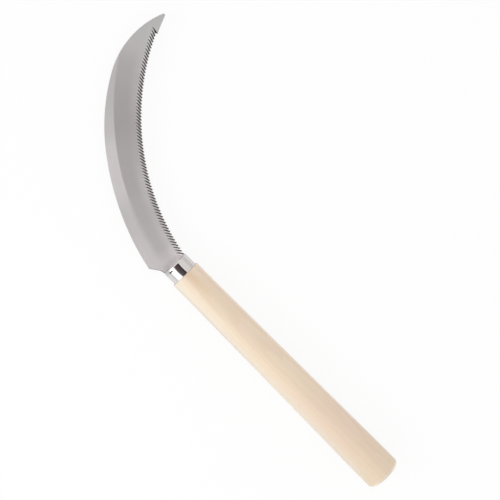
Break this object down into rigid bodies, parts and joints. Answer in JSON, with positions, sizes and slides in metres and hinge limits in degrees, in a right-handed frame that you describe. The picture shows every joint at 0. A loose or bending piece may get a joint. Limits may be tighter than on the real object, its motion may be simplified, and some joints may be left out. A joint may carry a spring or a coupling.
{
  "type": "serrated harvest sickle",
  "caption": "Hand sickle: curved flat steel blade, sawtoothed along its hollow edge, its tang held in a turned wooden handle by a metal ferrule and a nail.",
  "frame": {"origin": "centre of the handle's flat butt face", "axes": "+Y along the handle towards the blade, +X towards the hollow, toothed side of the blade's curve, +Z out of the blade's toothed face"},
  "size_m": [0.1385, 0.364, 0.0282],
  "materials": {
    "blade_steel": "fine satin grinding",
    "ferrule_metal": "polished plating",
    "handle_wood": "fine-grained pale hardwood, sanded, no lacquer",
    "nail_steel": "plain wire nail"
  },
  "bodies": {
    "root": {"blade": "blade_steel", "ferrule": "ferrule_metal", "handle": "handle_wood", "nail": "nail_steel"}
  },
  "joints": []
}
